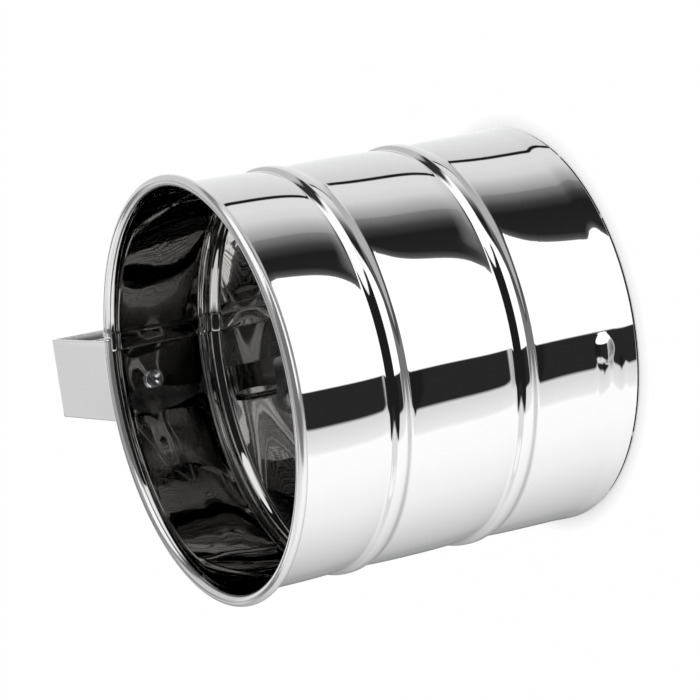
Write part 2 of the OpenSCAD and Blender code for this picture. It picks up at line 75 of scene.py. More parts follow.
# The scene's own finer forms, in millimetres and degrees
ROLL_R, ROLL_OUT, ROLL_LEAN = 1.4, 0.35, 1.4     # the rim's roll, how far it stands out, and the height it leans over
ROLL_END_DEG = -110
HEM_CORNER, HEM_INNER = 0.5, 0.2                 # the radii of its outer and inner foot
HEM_STEP, HEM_STEP_LOW, HEM_STEP_RUN = 0.2, 1.2, 5.0
SEAM_LOW, SEAM_W, SEAM_T, SEAM_CROWN = 6.7, 5.0, 0.6, 0.11
BEAD_CREST, PINCH_REACH = 0.6, 4.2
WELD_DEG, WELD_Z = 175.4, 9.3
WELD_HALF_SIZES, WELD_RISE = (3.8, 3.1), 0.27
WELD_TURNS, WELD_HEIGHTS = (-22, 4), (2, 15)     # where the weld is felt: degrees from it, and heights
WELD_COLUMNS = (-20, 4)
SHEET_DENTS, INSIDE_DENTS = (0.05, 0.012), (0.1, 0.02)
STRAP_EDGE, STRAP_BEND, STRAP_COLUMNS = 0.3, 1.0, 17
NODE_EDGE = 0.12                                 # the bevel on carried-over CAD nodes
# How steeply the sheet leaves a bead's crest, by distance from it: a flat crown, a flank, and a pinched foot
MOUTH_SIDE = ((0, 0), (0.6, 0.07), (1.05, 0.17), (1.45, 0.6), (1.85, 0.98), (2.25, 0.72), (2.65, 0.12), (3.0, -0.11))
BASE_SIDE = ((0, 0), (0.5, 0.09), (0.9, 0.17), (1.4, 0.42), (2.1, 0.58), (2.8, 0.42), (3.3, 0.1), (3.7, -0.11))
# The wall's rows: the usual step, the closer ones over the hem, and those on each side of a bead's crest
ROW_STEP, HEM_ROWS, BEAD_ROWS_REACH, BEAD_ROWS = 1.6, (2.6, 13, 0.4), 4.2, 43
# The creases that run from the weld along the hem: height, rise and spread
WELD_CREASES = ((8.7, 0.2, 1.25), (11.2, -0.05, 0.5), (4.2, 0.1, 0.8))
# The rim's roll ends in a small lap and a gap: degrees round the axis, and the roll's swelling there
RIM_JOINT = ((343.2, 0), (343.5, 0.07), (345.5, 0.07), (345.7, 0), (345.85, -0.35), (346.15, -0.35), (346.3, 0))

# The studio that the polished steel mirrors. Directions are degrees round the drum's axis and above its base's plane.
# The room's own brightness, by direction round the axis
ROOM = [
    (0, 0.82), (5, 0.8), (8, 0.16), (23, 0.22), (30, 0.3), (37, 0.33), (46, 0.45), (62, 0.6), (78, 0.74), (96, 0.88),
    (120, 0.98), (138.4, 1.0), (139.6, 0.84), (151, 0.7), (172, 0.75), (222, 0.75), (226, 0.02), (252, 0.014),
    (258, 0.05), (263, 0.15), (265.8, 0.2), (266.4, 0.29), (271, 0.4), (281, 0.66), (290, 0.72), (300, 0.72),
    (303, 0.62), (320, 0.68), (345, 0.7),
]
# Cards, each over the ones before it: (from, to) round the axis, (from, to) in height, corner radius, softness of the
# edge, brightness
CARDS = [
    ((-20, 380), (-130, -62), 4, 5, 0.62),     # below: pale, and grey straight down
    ((-20, 380), (-130, -76), 4, 5, 0.12),
    ((236, 330), (-130, -38), 8, 5, 0.42),
    ((150, 256), (-130, -41), 8, 5, 0.17),
    ((206, 252), (-130, -38), 8, 6, 0.07),
    ((-20, 380), (25, 100), 4, 2, 0.02),       # above the mouth: dark
    ((-20, 380), (58, 130), 4, 5, 0.26),       # straight into the mouth: grey
    ((-20, 30), (14, 24), 5, 2, 0.6),
    ((196, 287), (-8, 52), 9, 1.5, 1.0),       # lamp beside the mouth
    ((284, 306), (-14, 48), 7, 4, 0.03),
    ((306, 352), (-14, 48), 5, 5, 0.5),
    ((10, 138), (38, 64), 4, 3, 0.75),         # pale cards across the mouth, for the rim and the inside
    ((20, 60), (36, 50), 5, 2, 0.9),
    ((56, 138), (20, 44), 5, 3, 0.72),
    ((96, 118), (30, 40), 4, 1.5, 0.95),
    ((299.6, 303.0), (-41, -22), 0.9, 0.5, 0.01),
    ((153.2, 180), (-39, 0), 4, 0.9, 0.02),    # dark bands
    ((140, 232), (-22, 40), 26, 0.9, 0.012),
    ((150, 228), (0, 66), 5, 0.9, 0.012),
]
TINT, STUDIO_LEVEL = (0.975, 0.988, 1.005), 1.46
# The large soft box stands 450 mm off the axis: its heights in millimetres, its near edge in degrees round the axis,
# its far edge by height, and how its light fades past that edge
BOX_AWAY, BOX_HEIGHTS, BOX_NEAR, BOX_LEVEL = 450.0, (-345.0, -5.0), 174.5, 1.58
BOX_FAR = ((-345.0, 216.9), (-229.0, 226.8), (-106.0, 237.3), (-5.0, 245.9))
BOX_FADE = ((0, 0.12), (1.5, 0.05), (4.5, 0.0))
# Painted light under the sieve: gaps in the painted shade that glow though no lamp is there; each gap's middle and half
# sizes in millimetres, and its level
SHADE_GAPS = (((-26, -19), (17, 23), 1.15), ((27, 13), (9, 6), 3.2), ((4, 39), (13, 6), 3.4),
              ((-17, 25), (13, 5), 0.9))
# The painted shade's cells, in millimetres: how far out they lie, the width of its dark edge (a painted shadow line, to
# the eye too), how far from the end the painted light starts, how far its outline wanders in half sizes, and the circle
# that the outermost corners are moved to
SHADE_REACH, SHADE_EDGE, SHADE_DIM, SHADE_WANDER, SHADE_R = 49.2, 1.6, 2, 0.35, 49.85
# The floor, in metres: its half size, its height and the shade's, and how far off the axis it turns white to the camera
FLOOR_HALF = 40.0
FLOOR_Z, SHADE_Z = -0.0004, -0.0002
FLOOR_FADE, WHITE_SHARE = (0.048, 0.054), 0.985


# ---------------------------------------------------------------- helpers
def rise(value, start, run):
    """0 up to start, 1 from start + run on, and even in between."""
    return min(1.0, max(0.0, (value - start) / run))


def arc(cx, cy, r, start, end, steps):
    """Points of an arc from start to end in degrees."""
    angles = np.radians(np.linspace(start, end, steps + 1))
    return [(cx + r * math.cos(a), cy + r * math.sin(a)) for a in angles]


def round_points(points, angle):
    """Turns (radius, height) points by an angle round the drum's axis."""
    return [(r * math.cos(angle), r * math.sin(angle), z) for r, z in points]


def dress(piece, finish):
    piece.data.materials.clear()
    piece.data.materials.append(MATERIALS[finish])


def dress_zones(piece, finishes, zones):
    """Gives a piece more finishes: zones says for each face which it has, 0 being the one it already has."""
    for finish in finishes:
        piece.data.materials.append(MATERIALS[finish])
    piece.data.polygons.foreach_set("material_index", zones)


def add_mesh(name, verts, faces, slot, replaces, finish=None):
    """A new piece on the drum from vertices in millimetres, in place of a CAD node."""
    data = bpy.data.meshes.new(name)
    data.from_pydata([tuple(c * MM for c in v) for v in verts], [], faces)
    data.update()
    data.polygons.foreach_set("use_smooth", [True] * len(data.polygons))
    piece = bpy.data.objects.new(name, data)
    bpy.context.scene.collection.objects.link(piece)
    dress(piece, finish or slot)
    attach(piece, "drum")
    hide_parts(replaces)
    return piece


def add_stage(name, verts, faces, height=0.0):
    """A stage object from vertices in metres."""
    data = bpy.data.meshes.new(name)
    data.from_pydata(verts, [], faces)
    piece = bpy.data.objects.new(name, data)
    piece.location.z = height
    bpy.context.scene.collection.objects.link(piece)
    return piece


# ---------------------------------------------------------------- nodes
def link(tree, a, b):
    tree.links.new(a, b)


def node(tree, kind, feed=(), **values):
    """A new node. Values are its inputs or settings by name; feed links outputs to its inputs, by name or number."""
    made = tree.nodes.new(kind)
    for key, value in values.items():
        if key in made.inputs:
            made.inputs[key].default_value = value
        else:
            setattr(made, key, value)
    for key, source in dict(feed).items():
        link(tree, source, made.inputs[key])
    return made


def compute(tree, kind, operation, *sources):
    """The result of a Math or VectorMath node. Each source is an output or a plain value."""
    made = node(tree, "ShaderNode" + kind, operation=operation)
    for socket, source in zip(made.inputs, sources):
        if isinstance(source, bpy.types.NodeSocket):
            link(tree, source, socket)
        else:
            socket.default_value = source
    return made.outputs["Value" if kind == "Math" or operation == "LENGTH" else "Vector"]


def value_range(tree, source, low, high, to_low, to_high):
    limits = {"From Min": low, "From Max": high, "To Min": to_low, "To Max": to_high}
    return node(tree, "ShaderNodeMapRange", {"Value": source}, **limits).outputs["Result"]


def mix_shaders(tree, share, a, b):
    return node(tree, "ShaderNodeMixShader", {0: share, 1: a, 2: b}).outputs[0]


def blank_tree(data):
    """The empty node tree of a new material or world."""
    data.use_nodes = True
    data.node_tree.nodes.clear()
    return data.node_tree


def one_sided(tree, shader):
    """Ends a material that is clear from behind."""
    behind = node(tree, "ShaderNodeNewGeometry").outputs["Backfacing"]
    side = mix_shaders(tree, behind, shader, node(tree, "ShaderNodeBsdfTransparent").outputs[0])
    node(tree, "ShaderNodeOutputMaterial", {"Surface": side})


# ---------------------------------------------------------------- materials
def object_coords(tree, scale=(1, 1, 1)):
    place = node(tree, "ShaderNodeTexCoord").outputs["Object"]
    return node(tree, "ShaderNodeMapping", {"Vector": place}, Scale=scale).outputs["Vector"]


def steel(name, color, rough_low, rough_high, ripple=0.0, grain=0.0, grain_scale=(1, 1, 1), metallic=1.0):
    """Metal with smudged gloss, a slow ripple of the sheet and a fine directional grain."""
    made = bpy.data.materials.new(name)
    made.use_nodes = True
    tree = made.node_tree
    shader = tree.nodes["Principled BSDF"]
    shader.inputs["Base Color"].default_value = (*color, 1)
    shader.inputs["Metallic"].default_value = metallic
    place = object_coords(tree)
    smudge = node(tree, "ShaderNodeTexNoise", {"Vector": place}, Scale=55.0, Detail=5.0, Roughness=0.6)
    gloss = value_range(tree, smudge.outputs["Fac"], 0.35, 0.7, rough_low, rough_high)
    fine = node(tree, "ShaderNodeTexNoise", {"Vector": object_coords(tree, grain_scale)}, Scale=900.0, Detail=3.0)
    scratch = node(tree, "ShaderNodeBump", {"Height": fine.outputs["Fac"]}, Strength=grain, Distance=0.00004)
    wave = node(tree, "ShaderNodeTexNoise", {"Vector": place}, Scale=42.0, Detail=1.0)
    slow = node(tree, "ShaderNodeBump", {"Height": wave.outputs["Fac"], "Normal": scratch.outputs["Normal"]},
                Strength=ripple, Distance=0.0004)
    link(tree, gloss, shader.inputs["Roughness"])
    link(tree, slow.outputs["Normal"], shader.inputs["Normal"])
    return made


MATERIALS = {
    "polished_steel": steel("polished_steel", (0.69, 0.68, 0.668), 0.012, 0.035, ripple=0.012, grain=0.006),
    "rolled_rim": steel("rolled_rim", (0.7, 0.693, 0.688), 0.14, 0.24, grain=0.02, metallic=0.82),
    # painted shade: a darker copy of polished_steel for the drum's inside faces, standing in for the shade inside the
    # drum
    "inside_painted_shade_steel": steel("inside_painted_shade_steel", (0.54, 0.532, 0.522), 0.012, 0.035, ripple=0.012, grain=0.006),
    # painted shade: darkened steel for the bridge and blades, standing in for their shade inside the drum
    "inner_painted_shade_steel": steel("inner_painted_shade_steel", (0.36, 0.356, 0.352), 0.04, 0.09, grain=0.02, grain_scale=(0.1, 1, 1)),
    "satin_steel": steel("satin_steel", (0.74, 0.74, 0.745), 0.2, 0.32, grain=0.35, grain_scale=(1, 0.06, 1)),
    "rivet_steel": steel("rivet_steel", (0.70, 0.70, 0.71), 0.12, 0.25, grain=0.2),
    "spring_steel": steel("spring_steel", (0.56, 0.56, 0.58), 0.18, 0.3, grain=0.25),
    "mesh_wire": steel("mesh_wire", (0.42, 0.412, 0.405), 0.2, 0.34, grain=0.1),
    "brass": steel("brass", (0.72, 0.53, 0.25), 0.22, 0.38, grain=0.3),
}


# ---------------------------------------------------------------- drum
BEAD_AWAY = np.linspace(0, 30, 1201)             # distances from a bead's crest, in millimetres


def bead_table(side):
    """How far the sheet stands out by distance from a bead's crest, summed from its slopes."""
    slope = np.interp(BEAD_AWAY, *zip(*side))
    foot, last = side[-1]
    slope = np.where(BEAD_AWAY > foot, last * np.exp(-(BEAD_AWAY - foot) / PINCH_REACH), slope)
    slope = np.convolve(np.pad(slope, 4, mode="edge"), np.ones(9) / 9, "valid")
    heights = np.cumsum(slope[::-1])[::-1] * BEAD_AWAY[1]
    return heights * (BEAD_CREST / heights[0])


BEAD_TABLES = {1: bead_table(MOUTH_SIDE), -1: bead_table(BASE_SIDE)}


def wall_out(z):
    """How far the sheet stands out of the plain cylinder at height z: the beads, the rim, and the step over the hem."""
    over = rise(z, HEM_STEP_LOW, HEM_STEP_RUN)
    hem = HEM_STEP * (1 - over * over * (3 - 2 * over))
    lean = ROLL_OUT * max(0.0, 1 - (DRUM_H - ROLL_R - z) / ROLL_LEAN) ** 2 if z < DRUM_H else 0.0
    return hem + lean + sum(float(np.interp(abs(z - crest), BEAD_AWAY, BEAD_TABLES[1 if z > crest else -1]))
                            for crest in BEADS_Z)


def wall_heights(low, high):
    """The heights of the wall's rows: close together at the ends, over the hem and on the beads."""
    rows = set(np.round(np.arange(low, high, ROW_STEP), 3)) | {low, high, *SLOT_Z}
    rows |= {low + 0.06, low + 0.2, low + 0.6, high - 0.06, high - 0.3}
    if low < HEM_H:
        rows |= set(np.round(np.arange(*HEM_ROWS), 3))
    for crest in BEADS_Z:
        rows = {z for z in rows if abs(z - crest) > BEAD_ROWS_REACH + 0.2}
        rows |= set(np.round(np.linspace(crest - BEAD_ROWS_REACH, crest + BEAD_ROWS_REACH, BEAD_ROWS), 3))
    return sorted(z for z in rows if low <= z <= high)


def sheet_wave(angle, z):
    """The slow dents of rolled sheet, in millimetres, fading at the rim and the base."""
    slow = Vector((math.cos(angle) * 1.6, math.sin(angle) * 1.6, z / 34))
    fine = Vector((math.cos(angle) * 4.2, math.sin(angle) * 4.2, z / 13 + 7))
    fade = rise(DRUM_H - z, 4, 14) * rise(z, 0, 8)
    return (SHEET_DENTS[0] * noise.noise(slow) + SHEET_DENTS[1] * noise.noise(fine)) * fade


def inside_wave(angle, z):
    """The inside face keeps more of the roller's marks than the polished outside, from the upper bead up."""
    slow = Vector((math.cos(angle) * 4.0 + 9, math.sin(angle) * 4.0, z / 15))
    fine = Vector((math.cos(angle) * 9 + 5, math.sin(angle) * 9, z / 5))
    fade = rise(DRUM_H - z, 3, 6) * rise(z, 60, 8)
    return (INSIDE_DENTS[0] * noise.noise(slow) + INSIDE_DENTS[1] * noise.noise(fine)) * fade


def weld_dent(angle, z):
    """The spot weld of the hem: a small boss, and creases that run from it along the hem."""
    turn = math.degrees(angle) - WELD_DEG
    if not WELD_TURNS[0] < turn < WELD_TURNS[1] or not WELD_HEIGHTS[0] < z < WELD_HEIGHTS[1]:
        return 0.0
    across = math.hypot(math.radians(turn) * DRUM_R / WELD_HALF_SIZES[0], (z - WELD_Z) / WELD_HALF_SIZES[1])
    boss = WELD_RISE * (1 - across * across) ** 1.5 if across < 1 else 0.0
    fade = rise(turn, -20, 9) * rise(-turn, 1.0, 3)
    return boss + fade * sum(crest * math.exp(-((z - height) / spread) ** 2) for height, crest, spread in WELD_CREASES)


def drum_wall():
    """The sheet as one closed skin, outside, rim, inside and hem, with the pull bar's slot through it."""
    roll_x, roll_z = INNER_R + ROLL_OUT + ROLL_R, DRUM_H - ROLL_R
    start = arc(DRUM_R - HEM_CORNER, HEM_CORNER, HEM_CORNER, -90, 0, 9)[:-1]
    out = [(DRUM_R + wall_out(z), z) for z in wall_heights(HEM_CORNER, roll_z)]
    small = arc(roll_x, roll_z, ROLL_R - WALL_T, 180, ROLL_END_DEG, 28)[1:]
    large = arc(roll_x, roll_z, ROLL_R, ROLL_END_DEG, 180, 40)[:-1]
    into = [(INNER_R + wall_out(z), z) for z in wall_heights(HEM_H, roll_z)][::-1]
    hem = [(DRUM_R - HEM_T, HEM_H - 0.25)]
    last = arc(DRUM_R - HEM_T + HEM_INNER, HEM_INNER, HEM_INNER, 180, 270, 5)
    profile = start + out + small + large + into + hem + last
    rim_first = len(start) + len(out)
    large_first = rim_first + len(small)
    into_first = large_first + len(large)

    # The columns: even but for closer ones at the weld, the rim's joint and, last, across the slot
    slot_angle = math.asin(SLOT_HALF_Y / (DRUM_R - WALL_T / 2))
    weld = np.radians([WELD_DEG + degrees for degrees in WELD_COLUMNS])
    turns = sorted([*np.linspace(slot_angle, weld[0], 181), *np.linspace(*weld, 81)[1:-1],
                    *np.linspace(weld[1], 2 * math.pi - slot_angle, 201),
                    *[math.radians(degrees) for degrees, swell in RIM_JOINT]])
    solid = len(turns) - 1
    turns += list(np.linspace(-slot_angle, slot_angle, 17))[1:-1]
    count, around = len(profile), len(turns)

    verts, faces = [], []
    for angle in turns:
        swell = float(np.interp(math.degrees(angle), *zip(*RIM_JOINT)))
        column = []
        for k, (r, z) in enumerate(profile):
            if large_first <= k < into_first:
                r, z = r + (r - roll_x) * swell, z + (z - roll_z) * swell
            r += sheet_wave(angle, z) + weld_dent(angle, z)
            if k >= into_first:
                r += inside_wave(angle, z)
            column.append((r, z))
        verts += round_points(column, angle)

    def at(i, j):
        return (i % around) * count + j % count

    def row(points, z):
        return next(k for k, point in enumerate(points) if abs(point[1] - z) < 1e-6)

    outer = [len(start) + row(out, z) for z in SLOT_Z]
    inner = [into_first + row(into, z) for z in SLOT_Z[::-1]]
    for i in range(around):
        for j in range(count):
            if i < solid or not (outer[0] <= j < outer[1] or inner[0] <= j < inner[1]):
                faces.append((at(i, j), at(i + 1, j), at(i + 1, j + 1), at(i, j + 1)))
    # the cut edges of the slot: z rows are paired outside to inside
    for o, n in ((outer[0], inner[1]), (outer[1], inner[0])):
        for i in range(solid, around):
            quad = (at(i, o), at(i + 1, o), at(i + 1, n), at(i, n))
            faces.append(quad if o == outer[0] else quad[::-1])
    for i, flip in ((solid, False), (around, True)):
        for k in range(outer[1] - outer[0]):
            quad = (at(i, outer[0] + k), at(i, inner[1] - k), at(i, inner[1] - k - 1), at(i, outer[0] + k + 1))
            faces.append(quad[::-1] if flip else quad)
    piece = add_mesh("drum_wall", verts, faces, "polished_steel", "drum_body")
    rows = [face[0] % count for face in faces]
    # the inside face gets the steel darkened as painted shade
    dress_zones(piece, ("rolled_rim", "inside_painted_shade_steel"), [2 if k >= into_first else 1 if k >= rim_first else 0
                                                        for k in rows])


drum_wall()


def drum_seam():
    """The lap of the sheet's end on the inside, slightly crowned, with soft steps at its edges."""
    heights = wall_heights(SEAM_LOW, DRUM_H - ROLL_R + 0.2)
    half = SEAM_W / INNER_R / 2
    edge = [(half, 0.25), (half, -SEAM_T * 0.5), (half * 0.97, -SEAM_T * 0.9), (half * 0.9, -SEAM_T)]
    across = [(-turn, lift) for turn, lift in edge] + \
        [(half * s, -SEAM_T - SEAM_CROWN * (1 - s * s)) for s in np.linspace(-0.8, 0.8, 9)] + edge[::-1]
    verts, faces = [], []
    for z in heights:
        for turn, lift in across:
            angle = math.radians(SEAM_DEG) + turn
            r = INNER_R + wall_out(z) + lift + sheet_wave(angle, z) + inside_wave(angle, z)
            verts += round_points([(r, z)], angle)
    n = len(across)
    for j in range(len(heights) - 1):
        for i in range(n):
            a, b = j * n + i, j * n + (i + 1) % n
            faces.append((a, a + n, b + n, b))
    faces.append(tuple(range(n)))
    faces.append(tuple(range((len(heights) - 1) * n, len(heights) * n))[::-1])
    # the seam takes the inside's steel, darkened as painted shade
    add_mesh("drum_seam", verts, faces, "polished_steel", "drum_body", finish="inside_painted_shade_steel")


drum_seam()


# ---------------------------------------------------------------- sieve
def woven_mesh():
    """A plain weave of square wires: each passes over and under its neighbours."""
    pitch, wire, swing, reach, shortest = 1.0, 0.15, 0.62, 49.2, 1.5
    corners = ((wire, 0), (0, wire), (-wire, 0), (0, -wire))
    verts, faces = [], []
    count = int(reach / pitch)
    for along in (0, 1):
        for k in range(-count, count + 1):
            side = k * pitch
            if abs(side) > reach - shortest:
                continue
            m = int(math.sqrt(reach ** 2 - side ** 2) / pitch)
            stops = np.arange(-m * 2 - 1, m * 2 + 2) * pitch / 2
            first = len(verts)
            over = 1 if (k + along) % 2 else -1
            for t in stops:
                lift = over * wire * swing * math.cos(math.pi * t / pitch)
                for du, dv in corners:
                    p = (t, side + du, MESH_Z + lift + dv)
                    verts.append(p if along == 0 else (p[1], p[0], p[2]))
            for i in range(len(stops) - 1):
                for c in range(4):
                    a, b = first + i * 4 + c, first + i * 4 + (c + 1) % 4
                    quad = (a, b, b + 4, a + 4)
                    faces.append(quad if along == 0 else quad[::-1])
    add_mesh("woven_mesh", verts, faces, "mesh_wire", "mesh_screen")


woven_mesh()


def hoop_ring(steps=256):
    """The L-section hoop that holds the mesh on the hem."""
    profile = [(HOOP_R, MESH_TOP), (HOOP_R, MESH_TOP + HOOP_H - 0.2)] \
        + arc(HOOP_R - 0.25, MESH_TOP + HOOP_H - 0.25, 0.25, 0, 180, 8) \
        + arc(HOOP_R - 1.1, MESH_TOP + 1.1, 0.6, 0, -90, 6) \
        + arc(HOOP_R - 1.75, MESH_TOP + 0.25, 0.25, 90, 270, 8)
    n = len(profile)
    verts = [p for i in range(steps) for p in round_points(profile, 2 * math.pi * i / steps)]
    faces = [(i * n + j, (i + 1) % steps * n + j, (i + 1) % steps * n + (j + 1) % n, i * n + (j + 1) % n)
             for i in range(steps) for j in range(n)]
    add_mesh("hoop_ring", verts, faces, "polished_steel", "mesh_hoop")


hoop_ring()


# ---------------------------------------------------------------- grip
def ring_of(half, thick, edge):
    """A rounded rectangle about 0,0 that starts at its left middle and goes over the top; symmetric top to bottom."""
    edge = min(edge, thick / 2 * 0.98)
    q = thick / 2
    top = arc(-half + edge, q - edge, edge, 180, 90, 4)
    top += [(u, q) for u in np.linspace(-half + edge, half - edge, STRAP_COLUMNS)][1:-1]
    top += arc(half - edge, q - edge, edge, 90, 0, 4)
    return top + [(u, -v) for u, v in top[::-1]]


def path_of(corners, bend, step=1.5, bend_steps=8):
    """Points and tangents of a line through corners in a plane, with rounded bends."""
    points = []
    for i, c in enumerate(corners):
        c = np.array(c, float)
        if i in (0, len(corners) - 1):
            points.append([c])
            continue
        before = np.array(corners[i - 1], float) - c
        after = np.array(corners[i + 1], float) - c
        before, after = before / np.linalg.norm(before), after / np.linalg.norm(after)
        turn = math.acos(float(np.clip(before @ after, -1, 1)))
        reach = bend / math.tan(turn / 2)
        centre = c + (before + after) / np.linalg.norm(before + after) * bend / math.sin(turn / 2)
        a, b = c + before * reach - centre, c + after * reach - centre
        start, end = math.atan2(a[1], a[0]), math.atan2(b[1], b[0])
        sweep = (end - start + math.pi) % (2 * math.pi) - math.pi
        points.append([centre + bend * np.array([math.cos(start + sweep * f), math.sin(start + sweep * f)])
                       for f in np.linspace(0, 1, bend_steps + 1)])
    line = []
    for i, group in enumerate(points):
        if i:
            a, b = line[-1], group[0]
            n = max(1, int(np.linalg.norm(b - a) / step))
            line += [a + (b - a) * f for f in np.linspace(0, 1, n + 1)[1:-1]]
        line += group
    line = np.array(line)
    ahead = np.gradient(line, axis=0)
    ahead /= np.linalg.norm(ahead, axis=1)[:, None]
    return line, ahead


def strap_rings(corners, warp):
    """The cross-sections of a flat strap bent in the XZ plane, its ends' corners and its edges rounded."""
    line, ahead = path_of(corners, STRAP_BEND)
    steps = np.concatenate([[0], np.cumsum(np.linalg.norm(np.diff(line, axis=0), axis=1))])
    length = steps[-1]
    ends = [TAB_CORNER * (1 - math.cos(a)) for a in np.linspace(0, math.pi / 2, 9)]
    stations = sorted(set(np.round([*ends, *[length - e for e in ends],
                                    *[s for s in steps if TAB_CORNER < s < length - TAB_CORNER]], 5)))
    rings = []
    for s in stations:
        x, z = (np.interp(s, steps, line[:, k]) for k in (0, 1))
        tx, tz = (np.interp(s, steps, ahead[:, k]) for k in (0, 1))
        norm = math.hypot(tx, tz)
        tx, tz = tx / norm, tz / norm
        near = min(s, length - s)
        half = GRIP_W / 2
        if near < TAB_CORNER:
            half += -TAB_CORNER + math.sqrt(max(0.0, TAB_CORNER ** 2 - (TAB_CORNER - near) ** 2))
        rings.append([warp(x - tz * v, u, z + tx * v) for u, v in ring_of(half, GRIP_T, STRAP_EDGE)])
    return rings


def on_wall(x, y, z):
    """Curves a strap's tab to the wall, fading out along the arm."""
    bend = math.sqrt(DRUM_R ** 2 - y * y) - DRUM_R
    return (x + bend * (1 - rise(x, 54, 36)), y, z)


def grip_strap():
    """The fixed outer strap, polished outside and satin where it faces into its bends."""
    seat_x, far_x = DRUM_R + 0.05 + GRIP_T / 2, GRIP_X - GRIP_T / 2
    low_z, top_z = GRIP_LOW + GRIP_T / 2, GRIP_TOP - GRIP_T / 2
    rings = strap_rings([(seat_x, GRIP_LOW + TAB_LOW_H), (seat_x, low_z), (far_x, low_z), (far_x, top_z),
                         (seat_x, top_z), (seat_x, GRIP_TOP - TAB_HIGH_H)], on_wall)
    n = len(rings[0])
    faces, zones = [], []
    for j in range(len(rings) - 1):
        for i in range(n):
            a, b = j * n + i, j * n + (i + 1) % n
            faces.append((a, b, b + n, a + n))
            zones.append(1 if i < n // 2 - 1 else 0)
    last = (len(rings) - 1) * n
    for k in range(n // 2 - 1):
        faces.append((k, n - 1 - k, n - 2 - k, k + 1))
        faces.append((last + k, last + k + 1, last + n - 2 - k, last + n - 1 - k))
        zones += [0, 0]
    piece = add_mesh("grip_strap", [p for ring in rings for p in ring], faces, "polished_steel", "handle_grip")
    dress_zones(piece, ("satin_steel",), zones)


grip_strap()


# ---------------------------------------------------------------- spring
def coil_spring():
    """A compression coil with a closed, ground curl at each end."""
    steps, sides = 360, 12
    closed, closed_run = 0.12, 0.07              # each end's closed share of the wire, and of the spring's length
    length = SPRING_END - SPRING_X - 2 * WIRE_R
    line = []
    for i in range(steps + 1):
        f = i / steps
        lift = rise(f, closed, 1 - 2 * closed)
        lift = lift * lift * (3 - 2 * lift) * 0.35 + lift * 0.65
        x = SPRING_X + WIRE_R + length * (closed_run * rise(f, 0, closed) + (1 - 2 * closed_run) * lift
                                          + closed_run * rise(f, 1 - closed, closed))
        a = 2 * math.pi * (SPRING_TURNS + 1.5) * f
        line.append((x, COIL_R * math.cos(a), SPRING_Z + COIL_R * math.sin(a)))
    line = np.array(line)
    verts, faces = [], []
    for p, t in zip(line, np.gradient(line, axis=0)):
        t = t / np.linalg.norm(t)
        out = np.array([0, p[1], p[2] - SPRING_Z]) / COIL_R
        out = out - t * (out @ t)
        out /= np.linalg.norm(out)
        side = np.cross(t, out)
        for k in range(sides):
            b = 2 * math.pi * k / sides
            verts.append(tuple(p + WIRE_R * (math.cos(b) * out + math.sin(b) * side)))
    for i in range(steps):
        for k in range(sides):
            a, b = i * sides + k, i * sides + (k + 1) % sides
            faces.append((a, b, b + sides, a + sides))
    faces.append(tuple(range(sides))[::-1])
    faces.append(tuple(range(steps * sides, (steps + 1) * sides)))
    piece = add_mesh("coil_spring", verts, faces, "spring_steel", "return_spring")
    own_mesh(piece)


coil_spring()


# ---------------------------------------------------------------- carried-over CAD nodes
def carry(piece, slot):
    """A CAD node keeps its shape, with finely rounded edges and its slot's finish."""
    dress(piece, slot)
    piece.data.polygons.foreach_set("use_smooth", [True] * len(piece.data.polygons))
    flat = piece.modifiers.new("flat", "DECIMATE")
    flat.decimate_type = "DISSOLVE"
    flat.angle_limit = math.radians(1)
    edges = piece.modifiers.new("edges", "BEVEL")
    edges.width = NODE_EDGE * MM
    edges.segments = 2
    edges.limit_method = "ANGLE"
    edges.angle_limit = math.radians(35)
    edges.harden_normals = False
    piece.modifiers.new("normals", "WEIGHTED_NORMAL").keep_sharp = True


SLOTS = {s["node"]: s["material_slot"] for s in frame["record"]["subparts"]}
for name, piece in nodes.items():
    if not piece.hide_render:
        carry(piece, SLOTS[name])
        # the bridge and blades take the darkened steel of painted shade
        if name == "bridge" or name.startswith("agitator_blade"):
            dress(piece, "inner_painted_shade_steel")


# ---------------------------------------------------------------- floor, world, lamps, camera
def floor():
    """A floor that shows white to the camera, keeps a soft shadow, and lies in the dark under the drum."""
    far = FLOOR_HALF
    plane = add_stage("floor", [(-far, -far, 0), (far, -far, 0), (far, far, 0), (-far, far, 0)], [(0, 1, 2, 3)],
                      FLOOR_Z)
    plane.visible_glossy = False
    made = bpy.data.materials.new("floor")
    tree = blank_tree(made)
    matte = node(tree, "ShaderNodeBsdfDiffuse", Color=(0.9, 0.9, 0.9, 1))
    glow = node(tree, "ShaderNodeEmission", Color=(1, 1, 1, 1), Strength=1.0)
    place = node(tree, "ShaderNodeNewGeometry").outputs["Position"]
    away = compute(tree, "VectorMath", "LENGTH", compute(tree, "VectorMath", "MULTIPLY", place, (1, 1, 0)))
    share = value_range(tree, away, *FLOOR_FADE, 0.0, WHITE_SHARE)
    white = compute(tree, "Math", "MULTIPLY", share, node(tree, "ShaderNodeLightPath").outputs["Is Camera Ray"])
    one_sided(tree, mix_shaders(tree, white, matte.outputs[0], glow.outputs[0]))
    plane.data.materials.append(made)


floor()


